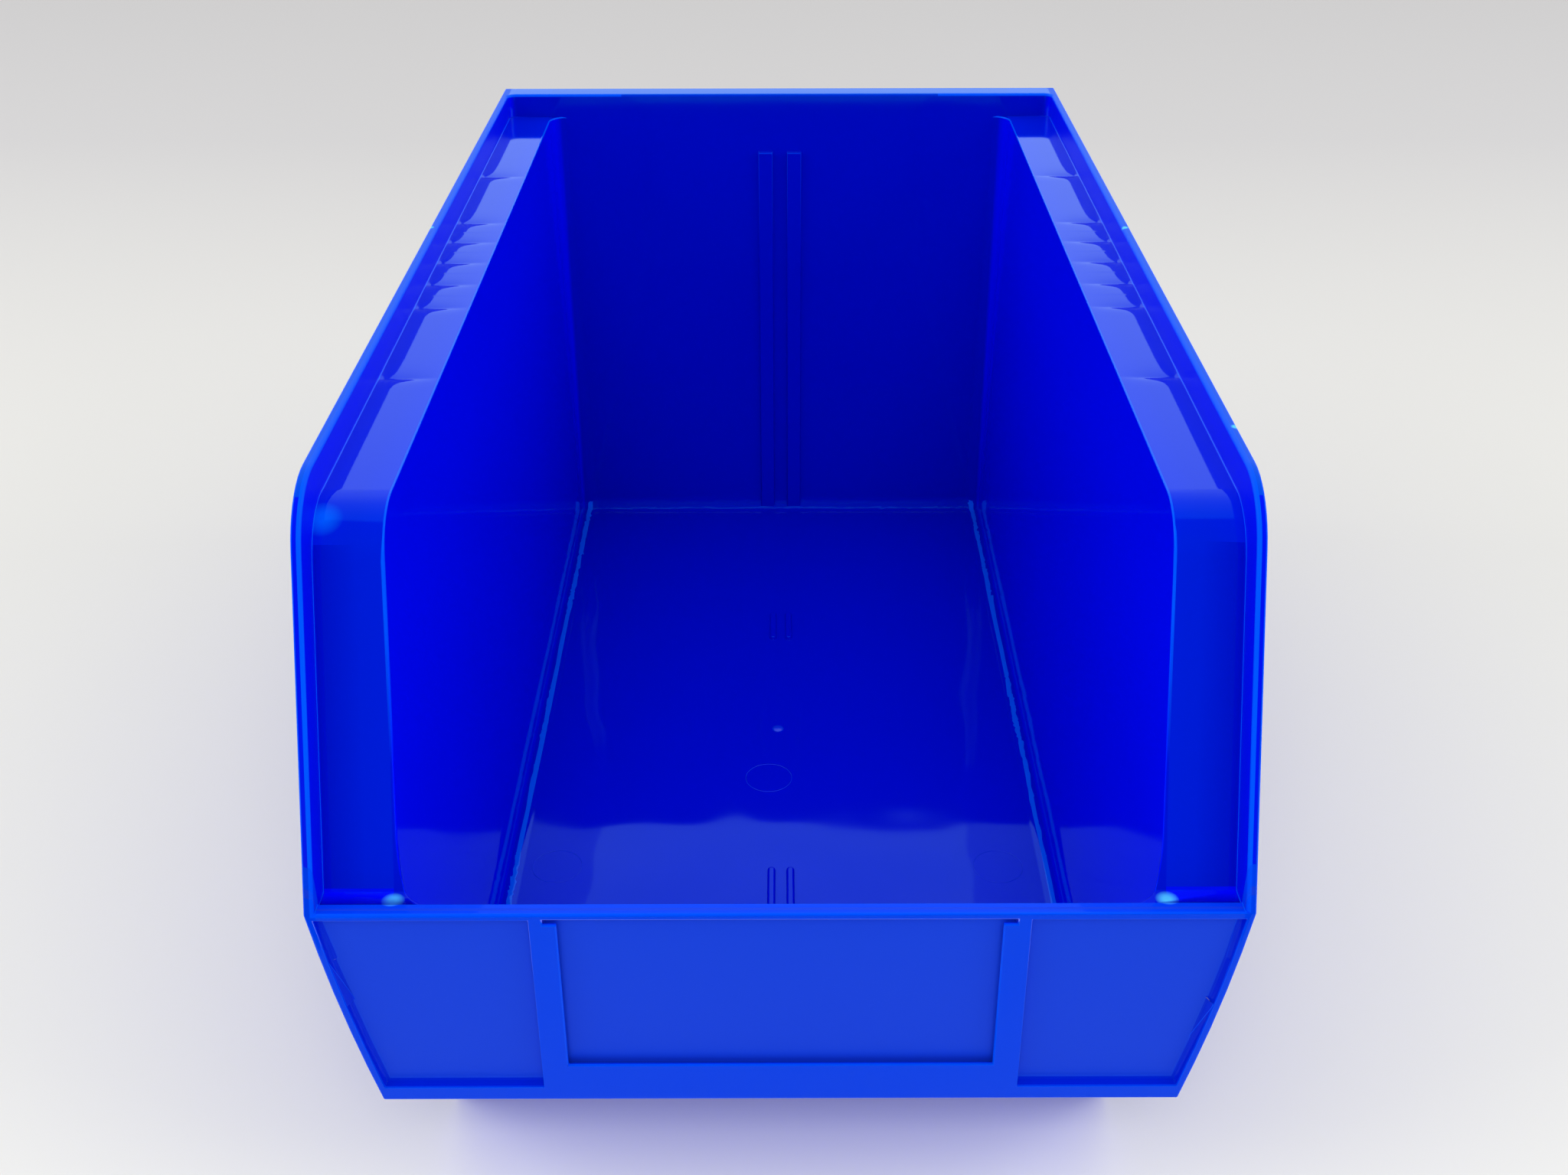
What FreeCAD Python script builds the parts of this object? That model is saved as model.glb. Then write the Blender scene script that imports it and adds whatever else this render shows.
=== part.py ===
import FreeCAD, Part
import math
import os
import re
import Sketcher

# A stack-and-hang storage bin, moulded in one piece, in millimetres.
# X runs across the bin, Y from the label panel to the back, Z up.
# The origin is the middle of the footprint, on the surface that the bin stands on.

SIZES = [
    # Overall
    ("bin_length", 375.0, "label panel to the back of the hanging lip"),
    ("bin_width", 210.0, "across the two rims"),
    ("bin_height", 178.0, "base to the top of the rims"),
    # Walls
    ("side_wall", 2.2, "thickness of the side and back walls"),
    ("front_wall", 1.9, "thickness of the label panel and of the wall under it"),
    ("floor_wall", 2.2, "thickness of the floor inside the standing ring"),
    ("base_ring_height", 0.8, "how far the standing ring lifts the floor"),
    ("base_ring_width", 9.0, "width of the standing ring"),
    # Stacking rim and ledge
    ("rim_wall", 2.2, "thickness of the raised rim"),
    ("ledge_depth", 8.5, "rim top to stacking ledge"),
    ("ledge_wall", 2.2, "thickness of the stacking ledge"),
    ("skirt_drop", 5.3, "how far the rim wall runs on below the ledge"),
    ("skirt_nose", 4.0, "height of the skirt where it meets the label panel"),
    ("rim_bend", 20.0, "radius on the rim where the top turns down to the lip"),
    ("ledge_bend", 16.5, "radius on the ledge where it turns down beside the rim"),
    ("rim_corner", 3.0, "radius inside the back corners of the rim"),
    # Hopper front
    ("hopper_reach", 37.5, "how far the sloping rim comes forward"),
    ("lip_height", 92.0, "base to the top of the front lip"),
    ("lip_wall", 1.5, "thickness of the front lip"),
    ("lip_step", 0.8, "how far the shelf behind the lip lies below it"),
    ("panel_foot_height", 35.2, "base to the lower edge of the label panel"),
    ("panel_taper", 11.0, "how far each side of the label panel comes in towards its foot"),
    ("panel_side_bow", 0.9, "how far each side of the label panel bows out"),
    ("panel_recess", 2.1, "how far the panel lies behind its frame"),
    ("panel_blend", 1.8, "radius around the panel, where it meets its frame"),
    ("frame_wall", 1.5, "width of the frame beside the panel"),
    ("frame_foot", 4.0, "height of the frame below the panel"),
    ("undercut", 35.5, "how far the base stands back from the label panel"),
    # Inside
    ("ledge_width", 15.8, "width of each stacking ledge, rim to side wall"),
    ("side_lean", 3.0, "how far each side wall comes in towards the floor"),
    ("back_lean", 2.5, "how far the back wall comes in towards the floor"),
    ("back_corner", 6.0, "radius inside the back corners"),
    ("front_corner", 10.0, "radius inside the front corners"),
    ("floor_fillet", 5.0, "radius around the floor"),
    # Hanging lip
    ("hanger_wall", 2.0, "thickness of the hanging lip"),
    ("hanger_gap", 4.6, "gap between the back wall and the hanging lip"),
    ("hanger_drop", 16.0, "depth of the hanging lip"),
    # Label holder
    ("label_opening", 99.0, "clear width between the two guides"),
    ("guide_cover", 3.1, "how far a guide laps over the card"),
    ("guide_web", 3.1, "width of the web that carries a guide"),
    ("guide_plate", 1.1, "thickness of the plate in front of the card"),
    ("guide_top_gap", 1.4, "lip to the top of the guides"),
    ("rail_height", 11.2, "height of the rail that carries the card"),
    ("slot_floor", 6.3, "height at which the card stands in the rail"),
    # Ribs under the ledges
    ("grip_rib_count", 5, "finger ribs on each side"),
    ("grip_rib_pitch", 18.5, "spacing of the finger ribs"),
    ("grip_rib_wall", 1.6, "thickness of a finger rib"),
    ("grip_rib_drop", 22.0, "ledge to the foot of a finger rib on the wall"),
    ("grip_middle", 16.0, "middle finger rib in front of or behind the origin"),
    ("fin_spacing", 173.0, "front fin to back fin"),
    ("fin_wall", 2.2, "thickness of a fin and of the runner between them"),
    ("foot_inset", 7.0, "how far the feet stand inside the rims"),
    # Divider ribs
    ("slot_rib_width", 5.4, "width of each rib on the back wall"),
    ("slot_rib_gap", 5.6, "gap between the ribs on the back wall"),
    ("slot_rib_depth", 1.6, "how far those ribs stand off the wall"),
    ("slot_rib_top", 156.0, "base to the top of those ribs"),
    ("floor_rib_width", 2.4, "width of each rib on the floor"),
    ("floor_rib_pitch", 5.8, "spacing of a pair of floor ribs"),
    ("floor_rib_height", 1.0, "height of the floor ribs"),
    ("floor_rib_edge", 0.8, "radius around the top of the floor ribs"),
    ("middle_rib_start", 69.0, "front end of the middle pair"),
    ("middle_rib_length", 18.5, "length of the middle pair"),
    ("front_rib_end", 64.0, "back end of the front pair, forward of the origin"),
    ("front_rib_length", 24.0, "length of the front pair"),
    # Outside corners
    ("wall_corner", 7.0, "radius on the upright edges at the back"),
    ("base_edge", 2.0, "radius around the base"),
]

# What follows from the driving sizes; S stands for the sheet of driving sizes.
WORKED = [
    ("rear", "S.bin_length / 2"),
    ("rim_half", "S.bin_width / 2"),
    ("rim_inner", "S.bin_width / 2 - S.rim_wall"),
    ("mouth_half", "S.bin_width / 2 - S.rim_wall - S.ledge_width"),
    ("floor_half", "S.bin_width / 2 - S.rim_wall - S.ledge_width - S.side_lean"),
    ("stance_half", "S.bin_width / 2 - S.foot_inset"),
    ("kink", "S.hopper_reach - S.bin_length / 2"),
    ("slope", "atan((S.bin_height - S.lip_height) / S.hopper_reach)"),
    ("floor_top", "S.floor_wall + S.base_ring_height"),
    ("ledge_top", "S.bin_height - S.ledge_depth"),
    ("ledge_under", "S.bin_height - S.ledge_depth - S.ledge_wall"),
    ("skirt_foot", "S.bin_height - S.ledge_depth - S.ledge_wall - S.skirt_drop"),
    ("shelf_top", "S.lip_height - S.lip_step"),
    ("shelf_under", "S.lip_height - S.lip_step - S.ledge_wall"),
    ("skirt_nose_foot", "S.lip_height - S.lip_step - S.ledge_wall - S.skirt_nose"),
    ("panel_face", "S.panel_recess - S.bin_length / 2"),
    ("panel_back", "S.panel_recess + S.front_wall - S.bin_length / 2"),
    ("base_front", "S.undercut - S.bin_length / 2"),
    ("back_face", "S.bin_length / 2 - S.hanger_wall - S.hanger_gap - S.side_wall"),
    ("back_slope", "S.back_lean / (S.bin_height - S.floor_wall - S.base_ring_height)"),
    ("side_slope", "S.side_lean / (S.bin_height - S.ledge_depth - S.floor_wall"
                   " - S.base_ring_height)"),
    ("undercut_slope", "(S.undercut - S.panel_recess) / S.panel_foot_height"),
    ("undercut_stretch", "sqrt(1 + W.undercut_slope ^ 2)"),
    ("undercut_top", "(S.undercut - S.panel_recess + S.front_wall * (W.undercut_stretch - 1))"
                     " / W.undercut_slope"),
    ("foot_half", "S.bin_width / 2 - S.panel_taper"),
    ("frame_lean", "S.panel_taper / (S.lip_height - S.panel_foot_height)"),
    ("frame_side", "sqrt(S.panel_taper ^ 2 + (S.lip_height - S.panel_foot_height) ^ 2)"),
    ("frame_bow_radius", "W.frame_side ^ 2 / 8 / S.panel_side_bow + S.panel_side_bow / 2"),
    ("lip_under", "S.lip_height - S.lip_wall"),
    ("web_inner", "S.label_opening / 2 + S.guide_cover"),
    ("web_outer", "S.label_opening / 2 + S.guide_cover + S.guide_web"),
    ("floor_rib_end", "S.floor_rib_width * 0.45"),
    ("clear_top", "S.bin_height + S.rim_wall"),
    ("clear_side", "W.rim_half + S.rim_wall"),
    ("clear_back", "W.rear + S.hanger_wall"),
    ("clear_front", "-W.rear - S.rim_wall"),
]

# Two places closer than this are one, and a feature that adds or cuts less has failed.
SAME_PLACE = 1e-4
LEAST_CHANGE = 1e-3


def in_full(expression):
    """The short names S and W, written out as the two sheets' own names."""
    return re.sub(r"\bS\.", "Sizes.", re.sub(r"\bW\.", "Worked.", expression))


def add_sheets(document):
    """One sheet of driving sizes, and one of what follows from them."""
    driving = document.addObject("Spreadsheet::Sheet", "Sizes")
    for row, (alias, size, meaning) in enumerate(SIZES, start=1):
        driving.set("A%d" % row, alias)
        driving.set("B%d" % row, str(size))
        driving.set("C%d" % row, meaning)
        driving.setAlias("B%d" % row, alias)
    document.recompute()
    following = document.addObject("Spreadsheet::Sheet", "Worked")
    for row, (alias, formula) in enumerate(WORKED, start=1):
        following.set("A%d" % row, alias)
        following.set("B%d" % row, "=" + in_full(formula).replace("Worked.", ""))
        following.setAlias("B%d" % row, alias)
        document.recompute()


def number(expression):
    """The present value of an expression, to draw a sketch near its final place."""
    result = document.Sizes.evalExpression(in_full(expression))
    return float(getattr(result, "Value", result))


def negative(expression):
    """The same place on the other side of the middle."""
    return "-(%s)" % expression


def wall_across(height, share):
    """Half the width to a share of the side wall's thickness, at a height."""
    return "W.floor_half + S.side_wall * %s + (%s - W.floor_top) * W.side_slope" % (share, height)


def back_inside(height):
    """Where the inner face of the back wall lies at a height."""
    return "W.back_face - (S.bin_height - (%s)) * W.back_slope" % height


def under_rim(depth):
    """The bend of a line that runs at a depth below the rim."""
    return "W.kink + (%s) * tan(W.slope / 2)" % depth


def down_slope(depth, height):
    """Where such a line reaches a height on the slope of the hopper front."""
    return "W.kink - (S.bin_height - (%s)) / tan(W.slope) + (%s) / sin(W.slope)" % (height, depth)


def origin_part(role):
    """A plane or an axis of the body's own origin."""
    for item in body.Origin.OriginFeatures:
        if item.Role == role:
            return item
    raise ValueError("no origin feature called " + role)


def new_sketch(name, plane, away="0"):
    """An empty sketch parallel to an origin plane, some way along its normal."""
    sketch = body.newObject("Sketcher::SketchObject", name)
    sketch.AttachmentSupport = [(origin_part(plane), "")]
    sketch.MapMode = "FlatFace"
    sketch.setExpression(".AttachmentOffset.Base.z", in_full(away))
    return sketch


def side_wall_sketch(name):
    """An empty sketch on the outer face of the side wall, which leans out as it rises."""
    sketch = new_sketch(name, "YZ_Plane", wall_across("W.floor_top", 1))
    lean = math.degrees(math.atan(number("W.side_slope")))
    base = sketch.AttachmentOffset.Base
    sketch.AttachmentOffset = FreeCAD.Placement(base, FreeCAD.Rotation(FreeCAD.Vector(1, 0, 0), lean))
    sketch.setExpression(".AttachmentOffset.Base.y", in_full("W.floor_top"))
    sketch.setExpression(".AttachmentOffset.Rotation.Angle", in_full("atan(W.side_slope)"))
    return sketch


def dimension(sketch, constraint, expression):
    """Add a dimension and bind it to the sheets."""
    index = sketch.addConstraint(constraint)
    sketch.setExpression("Constraints[%d]" % index, in_full(expression))


def pin(sketch, geometry, end, across, up):
    """Dimension one point of a sketch from its origin."""
    place = Sketcher.Constraint("DistanceX", -1, 1, geometry, end, number(across))
    dimension(sketch, place, across)
    place = Sketcher.Constraint("DistanceY", -1, 1, geometry, end, number(up))
    dimension(sketch, place, up)


def end_at(sketch, geometry, point):
    """Which end of a line or an arc lies at a point."""
    first_gap = (sketch.getPoint(geometry, 1) - point).Length
    last_gap = (sketch.getPoint(geometry, 2) - point).Length
    return 1 if first_gap < last_gap else 2


def rounding(before, corner, after, radius):
    """The arc that rounds a corner, with its two ends."""
    to_before = (before - corner).normalize()
    to_after = (after - corner).normalize()
    half_angle = to_before.getAngle(to_after) / 2
    inward = (to_before + to_after).normalize()
    first = corner + to_before * (radius / math.tan(half_angle))
    last = corner + to_after * (radius / math.tan(half_angle))
    middle = corner + inward * (radius / math.sin(half_angle) - radius)
    return Part.Arc(first, middle, last), first, last


def bowed(first, last, bow):
    """An arc between two points that stands to the right of the way from first to last."""
    way = last - first
    aside = FreeCAD.Vector(way.y, -way.x, 0).normalize()
    return Part.Arc(first, (first + last) * 0.5 + aside * bow, last)


def draw_outline(sketch, corners, bows=()):
    """A closed outline. A corner is (across, up) or (across, up, radius).

    An edge whose number is in bows is an arc that stands out by the bow of the frame.
    """
    points = [FreeCAD.Vector(number(corner[0]), number(corner[1]), 0) for corner in corners]
    count = len(corners)
    arcs = {}
    arrivals = list(points)
    departures = list(points)
    for index, corner in enumerate(corners):
        if len(corner) == 3:
            following = points[(index + 1) % count]
            rounded = rounding(points[index - 1], points[index], following, number(corner[2]))
            arcs[index], arrivals[index], departures[index] = rounded
    edges = []
    for index in range(count):
        first = departures[index]
        last = arrivals[(index + 1) % count]
        if index in bows:
            edges.append(sketch.addGeometry(bowed(first, last, number("S.panel_side_bow"))))
            radius = Sketcher.Constraint("Radius", edges[-1], number("W.frame_bow_radius"))
            dimension(sketch, radius, "W.frame_bow_radius")
        else:
            edges.append(sketch.addGeometry(Part.LineSegment(first, last)))
    for index, corner in enumerate(corners):
        edge_in = edges[index - 1]
        edge_out = edges[index]
        arrival = end_at(sketch, edge_in, arrivals[index])
        departure = end_at(sketch, edge_out, departures[index])
        if index not in arcs:
            meet = Sketcher.Constraint("Coincident", edge_in, arrival, edge_out, departure)
            sketch.addConstraint(meet)
            pin(sketch, edge_out, departure, corner[0], corner[1])
            continue
        arc = sketch.addGeometry(arcs[index])
        arc_first = end_at(sketch, arc, arrivals[index])
        tip = sketch.addGeometry(Part.Point(points[index]), True)
        sketch.addConstraint(Sketcher.Constraint("PointOnObject", tip, 1, edge_in))
        sketch.addConstraint(Sketcher.Constraint("PointOnObject", tip, 1, edge_out))
        sketch.addConstraint(Sketcher.Constraint("Tangent", edge_in, arrival, arc, arc_first))
        sketch.addConstraint(Sketcher.Constraint("Tangent", arc, 3 - arc_first, edge_out, departure))
        dimension(sketch, Sketcher.Constraint("Radius", arc, number(corner[2])), corner[2])
        pin(sketch, tip, 1, corner[0], corner[1])


def draw_box(sketch, left, right, low, high, radius=None):
    """A rectangle, with round corners where a radius is given."""
    corners = [(left, low), (right, low), (right, high), (left, high)]
    if radius:
        corners = [corner + (radius,) for corner in corners]
    draw_outline(sketch, corners)


def draw_both_sides(sketch, corners):
    """One outline on the right and its mirror image on the left."""
    draw_outline(sketch, corners)
    draw_outline(sketch, [(negative(corner[0]), corner[1]) for corner in reversed(corners)])


def extrude(kind, name, sketch, length=None, symmetric=False, reverse=False):
    """A pad or a pocket; with no length it goes through everything."""
    feature = body.newObject("PartDesign::" + kind, name)
    feature.Profile = sketch
    feature.Reversed = reverse
    if symmetric:
        feature.SideType = "Symmetric"
    if length is None:
        feature.Type = "ThroughAll"
    else:
        feature.setExpression("Length", in_full(length))
    return settle(feature)


def settle(feature):
    """Recompute, and stop where the feature failed or changed nothing."""
    body.Tip = feature
    document.recompute()
    if {"Invalid", "Error"} & set(feature.State) or not feature.Shape.isValid():
        raise RuntimeError(feature.Name + " did not build")
    base = feature.BaseFeature
    if base and abs(feature.Shape.Volume - base.Shape.Volume) < LEAST_CHANGE:
        raise RuntimeError(feature.Name + " changed nothing")
    return feature


def mirror(name, features):
    """The same features on the other side of the bin."""
    feature = body.newObject("PartDesign::Mirrored", name)
    feature.Originals = features
    feature.MirrorPlane = (origin_part("YZ_Plane"), [""])
    return settle(feature)


def repeat(name, feature, length, count):
    """Copies of a feature, evenly spaced from the front towards the back."""
    pattern = body.newObject("PartDesign::LinearPattern", name)
    pattern.Originals = [feature]
    pattern.Direction = (origin_part("Y_Axis"), [""])
    pattern.setExpression("Length", in_full(length))
    pattern.setExpression("Occurrences", in_full(count))
    return settle(pattern)


def round_edges(name, chosen, radius):
    """A fillet on the edges of the present solid that a test picks out."""
    base = body.Tip
    names = ["Edge%d" % (n + 1) for n, edge in enumerate(base.Shape.Edges) if chosen(edge)]
    if not names:
        raise RuntimeError(name + " found no edge")
    feature = body.newObject("PartDesign::Fillet", name)
    feature.Base = (base, names)
    feature.setExpression("Radius", in_full(radius))
    return settle(feature)


def add_envelope():
    """The whole outer block, from its side view: hopper front, undercut and hanging lip."""
    sketch = new_sketch("SideOutline", "YZ_Plane")
    lip_foot = "S.bin_height - S.hanger_drop"
    draw_outline(sketch, [
        ("W.base_front", "0"),
        ("W.panel_face", "S.panel_foot_height"),
        ("-W.rear", "S.panel_foot_height"),
        ("-W.rear", "S.lip_height"),
        ("W.kink", "S.bin_height", "S.rim_bend"),
        ("W.rear", "S.bin_height"),
        ("W.rear", lip_foot),
        (back_inside(lip_foot) + " + S.side_wall", lip_foot),
        (back_inside("0") + " + S.side_wall", "0"),
    ])
    extrude("Pad", "Envelope", sketch, "S.bin_width", symmetric=True)


def cut_stacking_step():
    """The step between the rims: ledge, bend, sloping ledge and the shelf behind the lip."""
    sketch = new_sketch("StepOutline", "YZ_Plane")
    draw_outline(sketch, [
        (back_inside("W.ledge_top"), "W.ledge_top"),
        (back_inside("W.clear_top"), "W.clear_top"),
        ("W.clear_front", "W.clear_top"),
        ("W.clear_front", "S.lip_height"),
        ("W.panel_back", "S.lip_height"),
        ("W.panel_back", "W.shelf_top"),
        (down_slope("S.ledge_depth", "W.shelf_top"), "W.shelf_top"),
        (under_rim("S.ledge_depth"), "W.ledge_top", "S.ledge_bend"),
    ])
    extrude("Pocket", "StackingStep", sketch, "2 * W.rim_inner", symmetric=True)


def round_rim():
    """Round the upright corners at the back, inside the rim."""
    rim_inner = number("W.rim_inner")

    def upright_in_corner(edge):
        box = edge.BoundBox
        upright = box.ZLength > number("S.ledge_depth") / 2 and box.XLength < SAME_PLACE
        return upright and box.YMin > 0 and abs(abs(box.XMin) - rim_inner) < SAME_PLACE

    round_edges("RimCorner", upright_in_corner, "S.rim_corner")


def cavity_section(name, height, front):
    """The plan of the cavity at a height."""
    sketch = new_sketch(name, "XY_Plane", height)
    half = wall_across(height, 0)
    back = back_inside(height)
    draw_outline(sketch, [
        (negative(half), front, "S.front_corner"),
        (half, front, "S.front_corner"),
        (half, back, "S.back_corner"),
        (negative(half), back, "S.back_corner"),
    ])
    return sketch


def cut_cavity():
    """The inside, drawn through three plans, then rounded along the floor."""
    floor_front = "W.base_front - W.floor_top * W.undercut_slope + S.front_wall * W.undercut_stretch"
    floor_plan = cavity_section("FloorPlan", "W.floor_top", floor_front)
    bend_plan = cavity_section("BendPlan", "W.undercut_top", "W.panel_back")
    mouth_plan = cavity_section("MouthPlan", "W.clear_top", "W.panel_back")
    cavity = body.newObject("PartDesign::SubtractiveLoft", "Cavity")
    cavity.Profile = floor_plan
    cavity.Sections = [bend_plan, mouth_plan]
    cavity.Ruled = True
    settle(cavity)
    floor_top = number("W.floor_top")
    round_edges("FloorFillet", lambda edge: level(edge, floor_top), "S.floor_fillet")


def level(edge, height):
    """Whether an edge lies flat at a height."""
    box = edge.BoundBox
    return abs(box.ZMin - height) < SAME_PLACE and abs(box.ZMax - height) < SAME_PLACE


def cut_sides():
    """Outside, the walls stand in under the ledges, behind a skirt that the rims carry down."""
    skirt_depth = "S.ledge_depth + S.ledge_wall + S.skirt_drop"
    under_depth = "S.ledge_depth + S.ledge_wall"
    sketch = side_wall_sketch("FlankOutline")
    draw_outline(sketch, [
        ("W.panel_back", "-W.rim_half"),
        ("W.clear_back", "-W.rim_half"),
        ("W.clear_back", "W.skirt_foot - W.floor_top"),
        (under_rim(skirt_depth), "W.skirt_foot - W.floor_top"),
        (down_slope(skirt_depth, "W.skirt_nose_foot"), "W.skirt_nose_foot - W.floor_top"),
        ("W.panel_back", "W.skirt_nose_foot - W.floor_top"),
    ])
    flank = extrude("Pocket", "Flank", sketch, reverse=True)
    sketch = side_wall_sketch("GrooveOutline")
    draw_outline(sketch, [
        ("W.panel_back", "0"),
        ("W.back_face", "0"),
        ("W.back_face", "W.ledge_under - W.floor_top"),
        (under_rim(under_depth), "W.ledge_under - W.floor_top",
         "S.ledge_bend - S.ledge_wall"),
        (down_slope(under_depth, "W.shelf_under"), "W.shelf_under - W.floor_top"),
        ("W.panel_back", "W.shelf_under - W.floor_top"),
    ])
    depth = "W.rim_inner - (%s)" % wall_across("W.ledge_under", 1)
    groove = extrude("Pocket", "LedgeGroove", sketch, depth, reverse=True)
    mirror("OtherFlank", [flank, groove])


def cut_hanger():
    """The slot behind the back wall that hangs the bin on a rail."""
    sketch = new_sketch("HangerOutline", "YZ_Plane")
    slot_foot = "S.bin_height - 2 * S.hanger_drop"
    slot_top = "S.bin_height - S.hanger_wall"
    draw_outline(sketch, [
        (back_inside(slot_foot) + " + S.side_wall", slot_foot),
        ("W.rear - S.hanger_wall", slot_foot),
        ("W.rear - S.hanger_wall", slot_top),
        (back_inside(slot_top) + " + S.side_wall", slot_top),
    ])
    extrude("Pocket", "HangerSlot", sketch, "2 * W.rim_inner", symmetric=True)


def cut_label_panel():
    """The front tapers towards its foot, and its panel lies back inside a frame."""
    sketch = new_sketch("TaperOutline", "XZ_Plane", "W.rear")
    draw_outline(sketch, [
        ("W.foot_half", "S.panel_foot_height"),
        ("W.rim_half", "S.lip_height"),
        ("W.clear_side", "S.lip_height"),
        ("W.clear_side", "0"),
        ("W.foot_half", "0"),
    ], bows=[0])
    taper = extrude("Pocket", "FrameTaper", sketch, "S.panel_recess + S.front_wall")
    mirror("OtherTaper", [taper])
    sketch = new_sketch("RecessOutline", "XZ_Plane", "W.rear")
    low = "S.panel_foot_height + S.frame_foot"
    low_half = "W.foot_half + S.frame_foot * W.frame_lean - S.frame_wall"
    high_half = "W.rim_half - S.lip_wall * W.frame_lean - S.frame_wall"
    draw_outline(sketch, [
        (low_half, low),
        (high_half, "W.lip_under"),
        (negative(high_half), "W.lip_under"),
        (negative(low_half), low),
    ], bows=[0, 2])
    extrude("Pocket", "PanelRecess", sketch, "S.panel_recess")
    face = number("W.panel_face")
    foot = number(low)
    head = number("W.lip_under")

    def around_panel(edge):
        box = edge.BoundBox
        in_panel = max(abs(box.YMin - face), abs(box.YMax - face)) < SAME_PLACE
        return in_panel and foot - SAME_PLACE < box.ZMin < head - SAME_PLACE

    round_edges("PanelBlend", around_panel, "S.panel_blend")


def add_label_holder():
    """Two guides and a rail hold a card: a web on the panel, and a plate that laps over it."""
    foot = "S.panel_foot_height"
    sketch = new_sketch("WebOutline", "XZ_Plane", "-(W.panel_face + S.front_wall / 2)")
    draw_holder(sketch, "W.web_inner", foot + " + S.slot_floor", "W.lip_under")
    extrude("Pad", "HolderWeb", sketch, "S.panel_recess + S.front_wall / 2")
    sketch = new_sketch("PlateOutline", "XZ_Plane", "W.rear")
    guide_top = "W.lip_under - S.guide_top_gap"
    draw_holder(sketch, "S.label_opening / 2", foot + " + S.rail_height", guide_top)
    extrude("Pad", "HolderPlate", sketch, "S.guide_plate", reverse=True)


def draw_holder(sketch, inner, rail, top):
    """The U of two guides and their rail, seen from the front."""
    draw_outline(sketch, [
        ("-W.web_outer", "S.panel_foot_height"),
        ("W.web_outer", "S.panel_foot_height"),
        ("W.web_outer", top),
        (inner, top),
        (inner, rail),
        (negative(inner), rail),
        (negative(inner), top),
        ("-W.web_outer", top),
    ])


def add_side_ribs():
    """Finger ribs under each ledge, and two fins a side that stand on a runner."""
    rim_middle = "W.rim_half - S.rim_wall / 2"
    ledge_middle = "W.ledge_top - S.ledge_wall / 2"
    skirt_inside = "W.skirt_foot + S.rim_wall"
    rib_foot = "W.ledge_under - S.grip_rib_drop"
    first_rib = "S.grip_middle - S.grip_rib_pitch * (S.grip_rib_count - 1) / 2"
    sketch = new_sketch("FingerRibOutline", "XZ_Plane", negative(first_rib))
    draw_both_sides(sketch, [
        (wall_across(rib_foot, 0.5), rib_foot),
        (rim_middle, skirt_inside),
        (rim_middle, ledge_middle),
        (wall_across(ledge_middle, 0.5), ledge_middle),
    ])
    rib = extrude("Pad", "FingerRib", sketch, "S.grip_rib_wall", symmetric=True)
    repeat("FingerRibs", rib, "S.grip_rib_pitch * (S.grip_rib_count - 1)", "S.grip_rib_count")
    first_fin = "S.grip_middle - S.fin_spacing / 2"
    sketch = new_sketch("FinOutline", "XZ_Plane", negative(first_fin))
    draw_both_sides(sketch, [
        (wall_across("0", 0.5), "0"),
        ("W.stance_half", "0"),
        ("W.rim_inner", "W.skirt_foot"),
        (rim_middle, skirt_inside),
        (rim_middle, ledge_middle),
        (wall_across(ledge_middle, 0.5), ledge_middle),
    ])
    fin = extrude("Pad", "Fin", sketch, "S.fin_wall", symmetric=True)
    repeat("Fins", fin, "S.fin_spacing", "2")
    sketch = new_sketch("RunnerOutline", "XY_Plane")
    draw_both_sides(sketch, [
        (wall_across("0", 0.5), first_fin),
        ("W.stance_half", first_fin),
        ("W.stance_half", first_fin + " + S.fin_spacing"),
        (wall_across("0", 0.5), first_fin + " + S.fin_spacing"),
    ])
    extrude("Pad", "Runners", sketch, "S.fin_wall")


def add_divider_ribs():
    """Ribs on the back wall and the floor that a divider stands between."""
    floor_middle = "W.floor_top - S.floor_wall / 2"
    sketch = new_sketch("BackRibOutline", "YZ_Plane", "S.slot_rib_gap / 2")
    draw_outline(sketch, [
        (back_inside(floor_middle) + " - S.slot_rib_depth", floor_middle),
        (back_inside("S.slot_rib_top") + " - S.slot_rib_depth", "S.slot_rib_top"),
        (back_inside("S.slot_rib_top") + " + S.side_wall / 2", "S.slot_rib_top"),
        (back_inside(floor_middle) + " + S.side_wall / 2", floor_middle),
    ])
    rib = extrude("Pad", "BackRib", sketch, "S.slot_rib_width")
    mirror("BackRibs", [rib])
    sketch = new_sketch("FloorRibOutline", "XY_Plane", floor_middle)
    near = "(S.floor_rib_pitch - S.floor_rib_width) / 2"
    far = "(S.floor_rib_pitch + S.floor_rib_width) / 2"
    for start, length in (("S.middle_rib_start", "S.middle_rib_length"),
                          ("-S.front_rib_end - S.front_rib_length", "S.front_rib_length")):
        draw_box(sketch, near, far, start, start + " + " + length, "W.floor_rib_end")
    ribs = extrude("Pad", "FloorRibs", sketch, "S.floor_wall / 2 + S.floor_rib_height")
    mirror("OtherFloorRibs", [ribs])
    rib_top = number("W.floor_top + S.floor_rib_height")
    round_edges("FloorRibEdge", lambda edge: level(edge, rib_top), "S.floor_rib_edge")


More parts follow.
